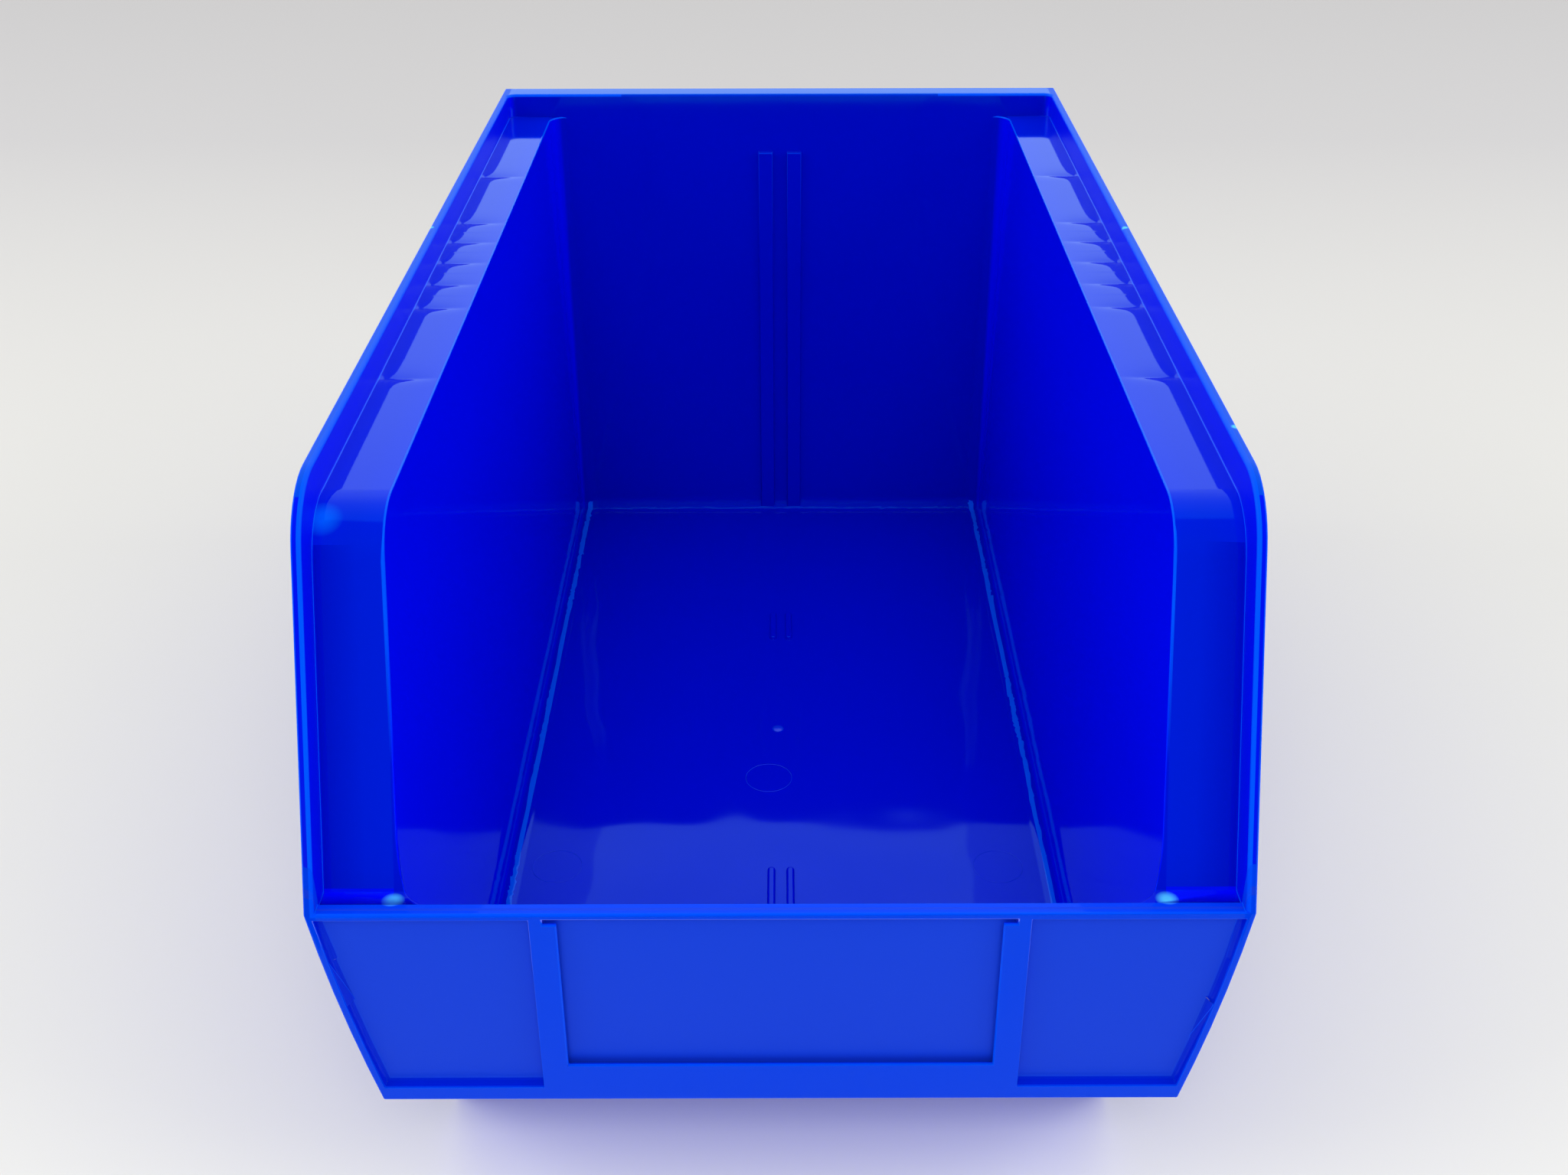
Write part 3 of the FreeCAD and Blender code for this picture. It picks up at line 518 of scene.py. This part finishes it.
def light_under_front(sheet, here, finish):
    """The strength of a painted blue glow on the downward faces under the front, which stands in for the
    light that the thin front wall lets through to the table.
    """
    downwards = sheet.sum_up("LESS_THAN", "faces down", here.looks_up, -LOOKS_UP)
    under = sheet.sum_up("LESS_THAN", "under the front", here.along, BIN_LOW.y + 45 * MM)
    return sheet.product("light let through", downwards, under, finish.under_glow)


def new_material(name):
    """An empty node material and the sheet of its tree."""
    material = bpy.data.materials.new(name)
    material.use_nodes = True
    material.node_tree.nodes.clear()
    return material, NodeSheet(material.node_tree)


def blue_plastic(finish):
    """Glossy moulded plastic, satin on the label panel, with a faint unevenness, and painted light, shade
    and highlights in its colour.
    """
    material, sheet = new_material(BIN_SLOT)
    here = BinPlaces(sheet)
    shade = moulded_colour(sheet, here, finish)
    shade = front_colour(sheet, here, finish, shade)
    shade = edge_colour(sheet, here, finish, shade)
    shade = spot_colour(sheet, here, finish, shade)
    roughness, level = plastic_gloss(sheet, here, finish)
    shader = sheet.add("ShaderNodeBsdfPrincipled", "plastic", {
        "Base Color": shade,
        "Roughness": roughness,
        "Normal": floor_warp(sheet, here),
        "IOR": 1.5,
        "Specular IOR Level": level,
        "Specular Tint": finish.glint,
        # Painted light: the faces under the front glow blue
        "Emission Color": finish.glow_colour,
        "Emission Strength": light_under_front(sheet, here, finish)})
    output = sheet.add("ShaderNodeOutputMaterial", "surface")
    sheet.feed(output.inputs["Surface"], shader.outputs["BSDF"])
    return material


def table_top(studio):
    """A pale, smooth table with the faintest unevenness, and painted shade that darkens it far behind the
    bin.
    """
    material, sheet = new_material("pale_table")
    place = sheet.add("ShaderNodeTexCoord", "place on the table").outputs["Object"]
    split = sheet.add("ShaderNodeSeparateXYZ", "across, along, up", {"Vector": place})
    dull = [channel * 0.98 for channel in studio.floor_colour[:3]] + [1.0]
    shade = sheet.blend("shade", sheet.noise("cloud", place, 3.0, 2.0), dull, studio.floor_colour)
    # Painted shade along the table
    far = sheet.ramp("far behind", split.outputs["Y"], studio.fade_start, studio.fade_end)
    shade = sheet.blend("far shade", far, shade, studio.far_shade_colour)
    shader = sheet.add("ShaderNodeBsdfPrincipled", "table", {
        "Base Color": shade, "Roughness": 0.7, "Specular IOR Level": 0.0})
    output = sheet.add("ShaderNodeOutputMaterial", "surface")
    sheet.feed(output.inputs["Surface"], shader.outputs["BSDF"])
    return material


def add_piece(name, mesh, material):
    """A new object in the scene, with its mesh and material."""
    piece = bpy.data.objects.new(name, mesh)
    bpy.context.scene.collection.objects.link(piece)
    mesh.materials.clear()
    mesh.materials.append(material)
    return piece


def bake_modifiers(piece):
    """Turn a piece with modifiers into a plain mesh."""
    bpy.context.view_layer.update()
    depsgraph = bpy.context.evaluated_depsgraph_get()
    finished = bpy.data.meshes.new_from_object(piece.evaluated_get(depsgraph), depsgraph=depsgraph)
    piece.modifiers.clear()
    piece.data = finished
    if not finished.polygons:
        raise RuntimeError(piece.name + " came out empty")


def whole_faces(source):
    """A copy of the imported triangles, merged, with each flat face made whole."""
    mesh = source.data.copy()
    work = bmesh.new()
    work.from_mesh(mesh)
    bmesh.ops.remove_doubles(work, verts=work.verts, dist=0.002 * MM)
    bmesh.ops.dissolve_limit(work, angle_limit=math.radians(0.4), verts=work.verts, edges=work.edges)
    work.to_mesh(mesh)
    work.free()
    mesh.polygons.foreach_set("use_smooth", [True] * len(mesh.polygons))
    return mesh


def under_top(point):
    """How far a point lies below the rim's top, on the flat or on the slope down to the lip."""
    below_flat = BIN_HIGH.z - point.z
    slope = math.atan2(BIN_HIGH.z - LIP_TOP, HOPPER_TOP - BIN_LOW.y)
    below_slope = below_flat * math.cos(slope) - (HOPPER_TOP - point.y) * math.sin(slope)
    return min(below_flat, below_slope)


def outer_radius(skin, first, last):
    """The rounding of an outer edge between two points."""
    depth = max(under_top(first), under_top(last))
    across = min(abs(first.x), abs(last.x))
    widest = max(abs(first.x), abs(last.x))
    middle = (first + last) / 2
    if middle.z < FLOOR_TOP:
        return 0.0
    on_rim = across > LEDGE_OUTER - 3.1 * MM and widest < LEDGE_OUTER + 0.1 * MM
    at_top = abs(first.z - BIN_HIGH.z) + abs(last.z - BIN_HIGH.z) < 0.1 * MM
    on_back = at_top and middle.y < BIN_HIGH.y - 5 * MM and across < LEDGE_OUTER - MM
    if depth < 4.3 * MM and (on_rim or on_back):
        return skin.rim_radius
    on_ledge = across > LEDGE_INNER - 2.5 * MM and widest < LEDGE_INNER + 0.1 * MM
    at_ledge = abs(depth - (BIN_HIGH.z - LEDGE_TOP)) < MM
    if on_ledge and at_ledge and middle.y < HOPPER_TOP + 8 * MM:
        return skin.ledge_radius
    return skin.edge_radius


def room_for_rounding(edge):
    """How wide a rounding may be before it runs past the faces beside its edge."""
    room = 1.0
    for vert in edge.verts:
        along = (edge.other_vert(vert).co - vert.co).normalized()
        beside = {other for face in edge.link_faces for other in face.edges if other in vert.link_edges}
        for other in beside - {edge}:
            reach = other.other_vert(vert).co - vert.co
            if reach.dot(along) > -0.5 * reach.length:
                room = min(room, 0.45 * reach.cross(along).length)
    return room if room > LEAST_RADIUS else 0.0


def even_out(radii):
    """Shrink roundings where a chain bends, so that neighbours differ no more than the bend allows."""
    pairs = []
    for edge in radii:
        for vert in edge.verts:
            along = vert.co - edge.other_vert(vert).co
            for other in vert.link_edges:
                if other is edge or other not in radii:
                    continue
                turn = along.angle(other.other_vert(vert).co - vert.co)
                if math.radians(2) < turn < math.radians(60):
                    shorter = min(edge.calc_length(), other.calc_length())
                    pairs.append((edge, other, 0.5 * shorter * math.sin(turn)))
    changed = True
    while changed:
        changed = False
        for edge, other, step in pairs:
            if radii[edge] > radii[other] + step + 1e-7:
                radii[edge] = radii[other] + step
                changed = True


def weigh_edges(mesh, skin):
    """Give each sharp edge its rounding as a share of the largest; return the largest."""
    largest = max(skin.edge_radius, skin.rim_radius, skin.ledge_radius)
    work = bmesh.new()
    work.from_mesh(mesh)
    outer = work.edges.layers.float.new("outer_edge")
    inner = work.edges.layers.float.new("inner_edge")
    convex = {}
    for edge in work.edges:
        if len(edge.link_faces) != 2:
            continue
        turn = edge.calc_face_angle()
        if turn < (skin.sharp_angle if edge.is_convex else skin.inner_angle):
            continue
        room = room_for_rounding(edge)
        if edge.is_convex:
            convex[edge] = min(room, outer_radius(skin, edge.verts[0].co, edge.verts[1].co))
        else:
            edge[inner] = min(1.0, room / skin.corner_radius)
    even_out(convex)
    for edge, radius in convex.items():
        edge[outer] = radius / largest
    work.to_mesh(mesh)
    work.free()
    return largest


def round_edges(piece, name, layer, width, steps, slot):
    """A bevel on the edges of one layer; its faces get a material slot."""
    rounding = piece.modifiers.new(name, "BEVEL")
    rounding.width = width
    rounding.segments = steps
    rounding.limit_method = "WEIGHT"
    rounding.edge_weight = layer
    rounding.material = slot
    rounding.use_clamp_overlap = False


def keep_in_box(mesh):
    """Bring any point that a rounding pushed out of the bin's box back to it."""
    for vert in mesh.vertices:
        vert.co = [min(max(value, low), high) for value, low, high in zip(vert.co, BIN_LOW, BIN_HIGH)]


def mark_edges(mesh):
    """Give each corner of a face in a rounded outer edge a share of 1, and others 0."""
    share = mesh.attributes.new(EDGE_SHARE, "FLOAT", "CORNER")
    for face in mesh.polygons:
        for corner in face.loop_indices:
            share.data[corner].value = 1.0 if face.material_index == 1 else 0.0
        face.material_index = 0
    while len(mesh.materials) > 1:
        mesh.materials.pop()


def rib_places():
    """Where the ribs and fins under the ledge lie along the bin."""
    first = RIB_MIDDLE - RIB_PITCH * (RIB_COUNT - 1) / 2
    places = [first + RIB_PITCH * index for index in range(RIB_COUNT)]
    return places + [RIB_MIDDLE - FIN_SPACING / 2, RIB_MIDDLE + FIN_SPACING / 2]


def on_flat_ledge(face):
    """Whether a face is part of a ledge's flat top."""
    middle = face.calc_center_median()
    level = abs(middle.z - LEDGE_TOP) < 0.05 * MM and face.normal.z > 0.999
    return level and LEDGE_INNER - MM < abs(middle.x) < LEDGE_OUTER + MM


def divide_ledges(mesh, skin):
    """Cut the flat ledges finely across, at their ends and close to each rib, so that they can sink."""
    work = bmesh.new()
    work.from_mesh(mesh)
    ends = [vert.co.y for face in work.faces if on_flat_ledge(face) for vert in face.verts]
    cuts = {max(ends) - step * MM for step in (0.3, 0.9, 2.0, 4.0, 8.0)}
    cuts |= {min(ends) + step * MM for step in (0.3, 0.9, 2.0)}
    for place in rib_places():
        step = -4 * skin.sink_front
        while step < 4 * skin.sink_back:
            cuts.add(round(place + step, 6))
            step += 0.4 * MM
    slices = [(Vector((0, place, 0)), Vector((0, 1, 0))) for place in sorted(cuts)]
    for side in (-1, 1):
        for share in (0.03, 0.15, 0.35, 0.55, 0.75, 0.9, 0.97):
            column = LEDGE_INNER + (LEDGE_OUTER - LEDGE_INNER) * share
            slices.append((Vector((side * column, 0, 0)), Vector((1, 0, 0))))
    for point, normal in slices:
        faces = [face for face in work.faces if on_flat_ledge(face)]
        edges = {edge for face in faces for edge in face.edges}
        verts = {vert for face in faces for vert in face.verts}
        bmesh.ops.bisect_plane(
            work, geom=[*faces, *edges, *verts], plane_co=point, plane_no=normal, dist=0.01 * MM)
    work.to_mesh(mesh)
    work.free()


def nearest_rib(sheet, along, first, pitch, count):
    """How far behind the nearest of a row of ribs a place lies."""
    steps = sheet.sum_up("DIVIDE", "in ribs", sheet.sum_up("SUBTRACT", "from first", along, first), pitch)
    whole = sheet.sum_up("ROUND", "nearest", steps)
    kept = sheet.add("ShaderNodeClamp", "within the row", {"Value": whole, "Min": 0.0, "Max": count - 1.0})
    place = sheet.sum_up("MULTIPLY_ADD", "rib", kept.outputs[0], pitch, first)
    return sheet.sum_up("SUBTRACT", "behind rib", along, place)


def sunk(sheet, behind, inputs):
    """The depth of a sink mark, from 1 at the rib to 0 far from it."""
    in_front = sheet.sum_up("LESS_THAN", "in front", behind, 0.0)
    run = sheet.mix("run", in_front, inputs["Run behind"], inputs["Run in front"])
    share = sheet.sum_up("DIVIDE", "share", sheet.sum_up("ABSOLUTE", "distance", behind), run)
    root = sheet.sum_up("SQRT", "root", sheet.sum_up("MULTIPLY_ADD", "square", share, share, BLUNT ** 2))
    rounded = sheet.sum_up("SUBTRACT", "blunt", root, BLUNT)
    return sheet.sum_up("EXPONENT", "fade", sheet.sum_up("MULTIPLY", "negative", rounded, -1.0))


def new_tree(name, sizes):
    """A geometry node tree with named sizes as inputs, and its sheet."""
    tree = bpy.data.node_groups.new(name, "GeometryNodeTree")
    tree.interface.new_socket("Geometry", in_out="INPUT", socket_type="NodeSocketGeometry")
    for size in sizes:
        tree.interface.new_socket(size, in_out="INPUT", socket_type="NodeSocketFloat")
    tree.interface.new_socket("Geometry", in_out="OUTPUT", socket_type="NodeSocketGeometry")
    return tree, NodeSheet(tree)


def finish_tree(sheet, geometry, material):
    """End a tree: instances made real, and the material set."""
    real = sheet.add("GeometryNodeRealizeInstances", "real", {"Geometry": geometry})
    painted = sheet.add("GeometryNodeSetMaterial", "plastic", {
        "Geometry": real.outputs[0], "Material": material})
    output = sheet.add("NodeGroupOutput", "finished")
    sheet.feed(output.inputs["Geometry"], painted.outputs[0])


def sink_tree(material):
    """Geometry nodes that let the ledges sink over the ribs under them."""
    tree, sheet = new_tree("Ledge sinks", ("Depth", "Run behind", "Run in front"))
    inputs = sheet.add("NodeGroupInput", "sizes").outputs
    place = sheet.add("GeometryNodeInputPosition", "place").outputs[0]
    split = sheet.add("ShaderNodeSeparateXYZ", "across, along, up", {"Vector": place})
    first = RIB_MIDDLE - RIB_PITCH * (RIB_COUNT - 1) / 2
    rib = nearest_rib(sheet, split.outputs["Y"], first, RIB_PITCH, RIB_COUNT)
    fin = nearest_rib(sheet, split.outputs["Y"], RIB_MIDDLE - FIN_SPACING / 2, FIN_SPACING, 2)
    total = sheet.sum_up("ADD", "both", sunk(sheet, rib, inputs), sunk(sheet, fin, inputs))
    across = sheet.sum_up("ABSOLUTE", "from the middle", split.outputs["X"])
    fade_in = sheet.ramp("fade inside", across, LEDGE_INNER + 0.2 * MM, LEDGE_OUTER - 3 * MM)
    fade_out = sheet.ramp("fade outside", across, LEDGE_OUTER - 0.2 * MM, LEDGE_OUTER - 1.5 * MM)
    on_ledge = sheet.between(
        "at ledge height", split.outputs["Z"], LEDGE_TOP - 0.05 * MM, LEDGE_TOP + 0.05 * MM)
    fall = sheet.product("sink", fade_in, fade_out, on_ledge, total, inputs["Depth"])
    downwards = sheet.sum_up("MULTIPLY", "downwards", fall, -1.0)
    offset = sheet.add("ShaderNodeCombineXYZ", "down", {"Z": downwards})
    moved = sheet.add("GeometryNodeSetPosition", "sink", {
        "Geometry": inputs["Geometry"], "Offset": offset.outputs[0]})
    finish_tree(sheet, moved.outputs[0], material)
    return tree


def set_input(modifier, name, value):
    """Set a node modifier's input by its socket's identifier."""
    for item in modifier.node_group.interface.items_tree:
        if item.item_type == "SOCKET" and item.in_out == "INPUT" and item.name == name:
            modifier[item.identifier] = value
            return
    raise KeyError(name)


def marks_tree(marks, material):
    """Geometry nodes that lay a thin raised ring on each point, and the gate's nub on the floor."""
    tree, sheet = new_tree("Floor marks", ("Ring radius", "Ring width"))
    inputs = sheet.add("NodeGroupInput", "sizes").outputs
    path = sheet.add("GeometryNodeCurvePrimitiveCircle", "ring", {
        "Resolution": 72, "Radius": inputs["Ring radius"]})
    profile = sheet.add("GeometryNodeCurvePrimitiveCircle", "its section", {
        "Resolution": 8, "Radius": inputs["Ring width"]})
    ring = sheet.add("GeometryNodeCurveToMesh", "raised line", {
        "Curve": path.outputs[0], "Profile Curve": profile.outputs[0]})
    rings = sheet.add("GeometryNodeInstanceOnPoints", "a ring on each point", {
        "Points": inputs["Geometry"], "Instance": ring.outputs[0]})
    drop = sheet.add("GeometryNodeMeshUVSphere", "drop", {
        "Segments": 24, "Rings": 12, "Radius": marks.gate_radius})
    nub = sheet.add("GeometryNodeTransform", "nub", {
        "Geometry": drop.outputs[0], "Translation": tuple(marks.gate_place),
        "Scale": (1.0, 1.0, marks.gate_flatness)})
    both = sheet.add("GeometryNodeJoinGeometry", "marks", {"Geometry": rings.outputs[0]})
    sheet.feed(both.inputs["Geometry"], nub.outputs[0])
    finish_tree(sheet, both.outputs[0], material)
    return tree


class BIN_OT_marks(bpy.types.Operator):
    """Lay the faint ejector rings and the gate's nub on the bin's floor"""

    bl_idname = "bin.marks"
    bl_label = "Floor marks"

    def execute(self, context):
        marks = context.scene.bin_marks
        material = bpy.data.materials[BIN_SLOT]
        mesh = bpy.data.meshes.new("ring places")
        places = [marks.middle_ring, marks.left_ring, marks.right_ring]
        mesh.from_pydata([tuple(place) for place in places], [], [])
        piece = add_piece("floor_marks", mesh, material)
        laying = piece.modifiers.new("floor marks", "NODES")
        laying.node_group = marks_tree(marks, material)
        set_input(laying, "Ring radius", marks.ring_radius)
        set_input(laying, "Ring width", marks.ring_width)
        bake_modifiers(piece)
        piece.data.polygons.foreach_set("use_smooth", [True] * len(piece.data.polygons))
        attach(piece, BODY)
        return {"FINISHED"}


class BIN_OT_skin(bpy.types.Operator):
    """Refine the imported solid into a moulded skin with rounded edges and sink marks"""

    bl_idname = "bin.skin"
    bl_label = "Moulded skin"

    def execute(self, context):
        skin = context.scene.bin_skin
        material = blue_plastic(context.scene.bin_finish)
        piece = add_piece("moulded_skin", whole_faces(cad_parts[BIN_NODE]), material)
        piece.data.materials.append(material)
        largest = weigh_edges(piece.data, skin)
        round_edges(piece, "outer edges", "outer_edge", largest, skin.edge_steps, 1)
        round_edges(piece, "inner corners", "inner_edge", skin.corner_radius, 2, 0)
        bake_modifiers(piece)
        keep_in_box(piece.data)
        mark_edges(piece.data)
        divide_ledges(piece.data, skin)
        sinking = piece.modifiers.new("ledge sinks", "NODES")
        sinking.node_group = sink_tree(material)
        set_input(sinking, "Depth", skin.sink_depth)
        set_input(sinking, "Run behind", skin.sink_back)
        set_input(sinking, "Run in front", skin.sink_front)
        even = piece.modifiers.new("face normals", "WEIGHTED_NORMAL")
        even.mode = "FACE_AREA"
        even.keep_sharp = True
        bake_modifiers(piece)
        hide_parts(BIN_NODE)
        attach(piece, BODY)
        return {"FINISHED"}


def light_tent(studio):
    """Pale all round to the eye; the light comes from behind and above, and the front is dim."""
    world = bpy.data.worlds.new("light tent")
    world.use_nodes = True
    world.node_tree.nodes.clear()
    sheet = NodeSheet(world.node_tree)
    direction = sheet.add("ShaderNodeTexCoord", "direction").outputs["Generated"]
    split = sheet.add("ShaderNodeSeparateXYZ", "across, along, up", {"Vector": direction})
    _across, along, up = split.outputs
    reach = sheet.sum_up("MULTIPLY_ADD", "towards the back or up", up, 0.8, along)
    path = sheet.add("ShaderNodeLightPath", "seen or lighting").outputs
    lit = sheet.ramp("tent or room", reach, -0.5, 0.1,
                     studio.room_strength, studio.sky_strength, "SMOOTHSTEP")
    mirrored = sheet.ramp("tent or room, mirrored", reach, *studio.mirrored_edge,
                          studio.mirrored_room, studio.sky_strength, "SMOOTHSTEP")
    strength = sheet.mix("lit or mirrored", path["Is Glossy Ray"], lit, mirrored)
    strength = sheet.mix("pale to the eye", path["Is Camera Ray"], strength, studio.sky_strength)
    colour = sheet.blend("tint", path["Is Glossy Ray"], studio.sky_colour, studio.mirrored_colour)
    backdrop = sheet.add("ShaderNodeBackground", "tent", {"Color": colour, "Strength": strength})
    output = sheet.add("ShaderNodeOutputWorld", "world")
    sheet.feed(output.inputs["Surface"], backdrop.outputs["Background"])
    return world


def soft_lamp(name, place, size, power):
    """A rectangular lamp that faces the bin."""
    lamp = bpy.data.lights.new(name, "AREA")
    lamp.shape = "RECTANGLE"
    lamp.size, lamp.size_y = size
    lamp.energy = power
    lamp_object = bpy.data.objects.new(name, lamp)
    lamp_object.location = place
    aim = Vector((0, 0, BIN_HIGH.z / 2)) - lamp_object.location
    lamp_object.rotation_euler = aim.to_track_quat("-Z", "Y").to_euler()
    bpy.context.scene.collection.objects.link(lamp_object)
    return lamp_object


class BIN_OT_studio(bpy.types.Operator):
    """Set up the pale floor, the soft light and the camera"""

    bl_idname = "bin.studio"
    bl_label = "Studio"

    def execute(self, context):
        studio = context.scene.bin_studio
        half = studio.floor_size / 2
        mesh = bpy.data.meshes.new("table")
        corners = [(-half, -half, 0), (half, -half, 0), (half, half, 0), (-half, half, 0)]
        mesh.from_pydata(corners, [], [(0, 1, 2, 3)])
        add_piece("table", mesh, table_top(studio))

        context.scene.world = light_tent(studio)
        across, along, up = studio.side_place
        for side in (-1, 1):
            soft_lamp("side lamp", (across * side, along, up), (1.5, 1.0), studio.side_power)
        front = soft_lamp("front lamp", studio.front_place, (1.0, 0.6), studio.front_power)
        front.visible_glossy = False

        camera = bpy.data.cameras.new("camera")
        camera.sensor_fit = "HORIZONTAL"
        camera.sensor_width = 36.0
        camera.lens = studio.camera_lens
        camera.clip_start = 0.01
        camera_object = bpy.data.objects.new("camera", camera)
        camera_object.location = studio.camera_place
        camera_object.rotation_euler = Euler(studio.camera_turn, "XYZ")
        context.scene.collection.objects.link(camera_object)
        context.scene.camera = camera_object
        context.scene.view_settings.view_transform = "Standard"
        return {"FINISHED"}


class BIN_PT_panel(bpy.types.Panel):
    """Lists the steps and their sizes"""

    bl_idname = "BIN_PT_panel"
    bl_label = "Storage bin"
    bl_space_type = "VIEW_3D"
    bl_region_type = "UI"
    bl_category = "Storage bin"

    def draw(self, context):
        for operator, settings in STEPS:
            box = self.layout.box()
            box.operator(operator.bl_idname)
            group = getattr(context.scene, settings)
            for name in group.bl_rna.properties.keys():
                if name not in ("rna_type", "name"):
                    box.prop(group, name)


SETTINGS = {"bin_skin": BinSkinSettings, "bin_finish": BinFinishSettings, "bin_marks": BinMarkSettings,
            "bin_studio": BinStudioSettings}
STEPS = [(BIN_OT_skin, "bin_skin"), (BIN_OT_marks, "bin_marks"), (BIN_OT_studio, "bin_studio")]


def register():
    for name, group in SETTINGS.items():
        bpy.utils.register_class(group)
        setattr(bpy.types.Scene, name, bpy.props.PointerProperty(type=group))
    for operator, _settings in STEPS:
        bpy.utils.register_class(operator)
    bpy.utils.register_class(BIN_PT_panel)


def unregister():
    bpy.utils.unregister_class(BIN_PT_panel)
    for operator, _settings in reversed(STEPS):
        bpy.utils.unregister_class(operator)
    for name, group in SETTINGS.items():
        delattr(bpy.types.Scene, name)
        bpy.utils.unregister_class(group)


def main():
    register()
    bpy.ops.bin.studio()
    bpy.ops.bin.skin()
    bpy.ops.bin.marks()


if __name__ == "__main__":
    main()
